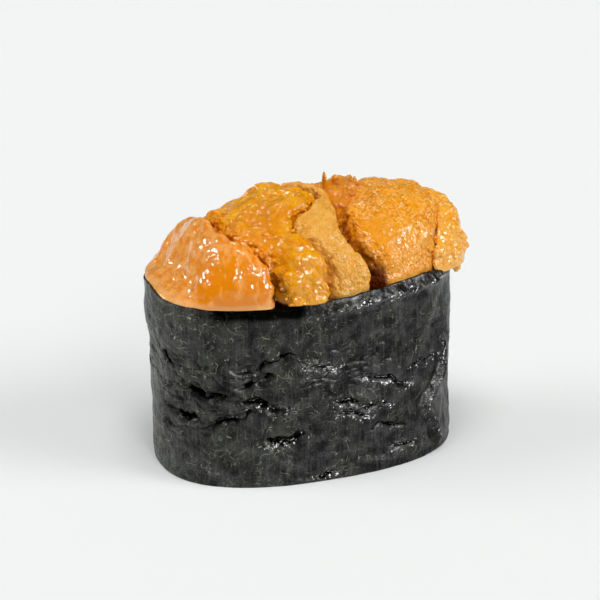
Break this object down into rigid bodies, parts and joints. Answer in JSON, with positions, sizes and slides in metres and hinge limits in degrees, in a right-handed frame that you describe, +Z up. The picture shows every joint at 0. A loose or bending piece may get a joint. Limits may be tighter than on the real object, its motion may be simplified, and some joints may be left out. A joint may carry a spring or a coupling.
{
  "type": "sea urchin gunkan sushi",
  "caption": "Oval block of pressed rice wrapped in an upright band of nori, heaped with lobes of sea urchin roe that overhang the rim at one end.",
  "frame": {"origin": "middle of the whole length and width, on the surface the sushi stands on", "axes": "+X along the length towards the overhanging tail of roe, +Y from the front side to the back, +Z up"},
  "size_m": [0.0556, 0.0319, 0.0457],
  "materials": {
    "nori": "black-green roasted seaweed, softly shiny, finely wrinkled",
    "rice": "cooked short-grain rice, moist, slightly translucent",
    "uni_pink": "smooth wet roe, pink-orange, translucent",
    "uni_golden": "wet roe, deep yellow-orange, ragged, translucent",
    "uni_ochre": "finely granular roe, ochre, nearly matt",
    "uni_grainy": "coarsely granular roe, light orange, moist"
  },
  "bodies": {
    "root": {"nori_band": "nori", "rice_bed": "rice", "uni_left": "uni_pink", "uni_middle": "uni_golden", "uni_fold": "uni_ochre", "uni_back": "uni_golden", "uni_right": "uni_grainy", "uni_tail": "uni_grainy"}
  },
  "joints": []
}
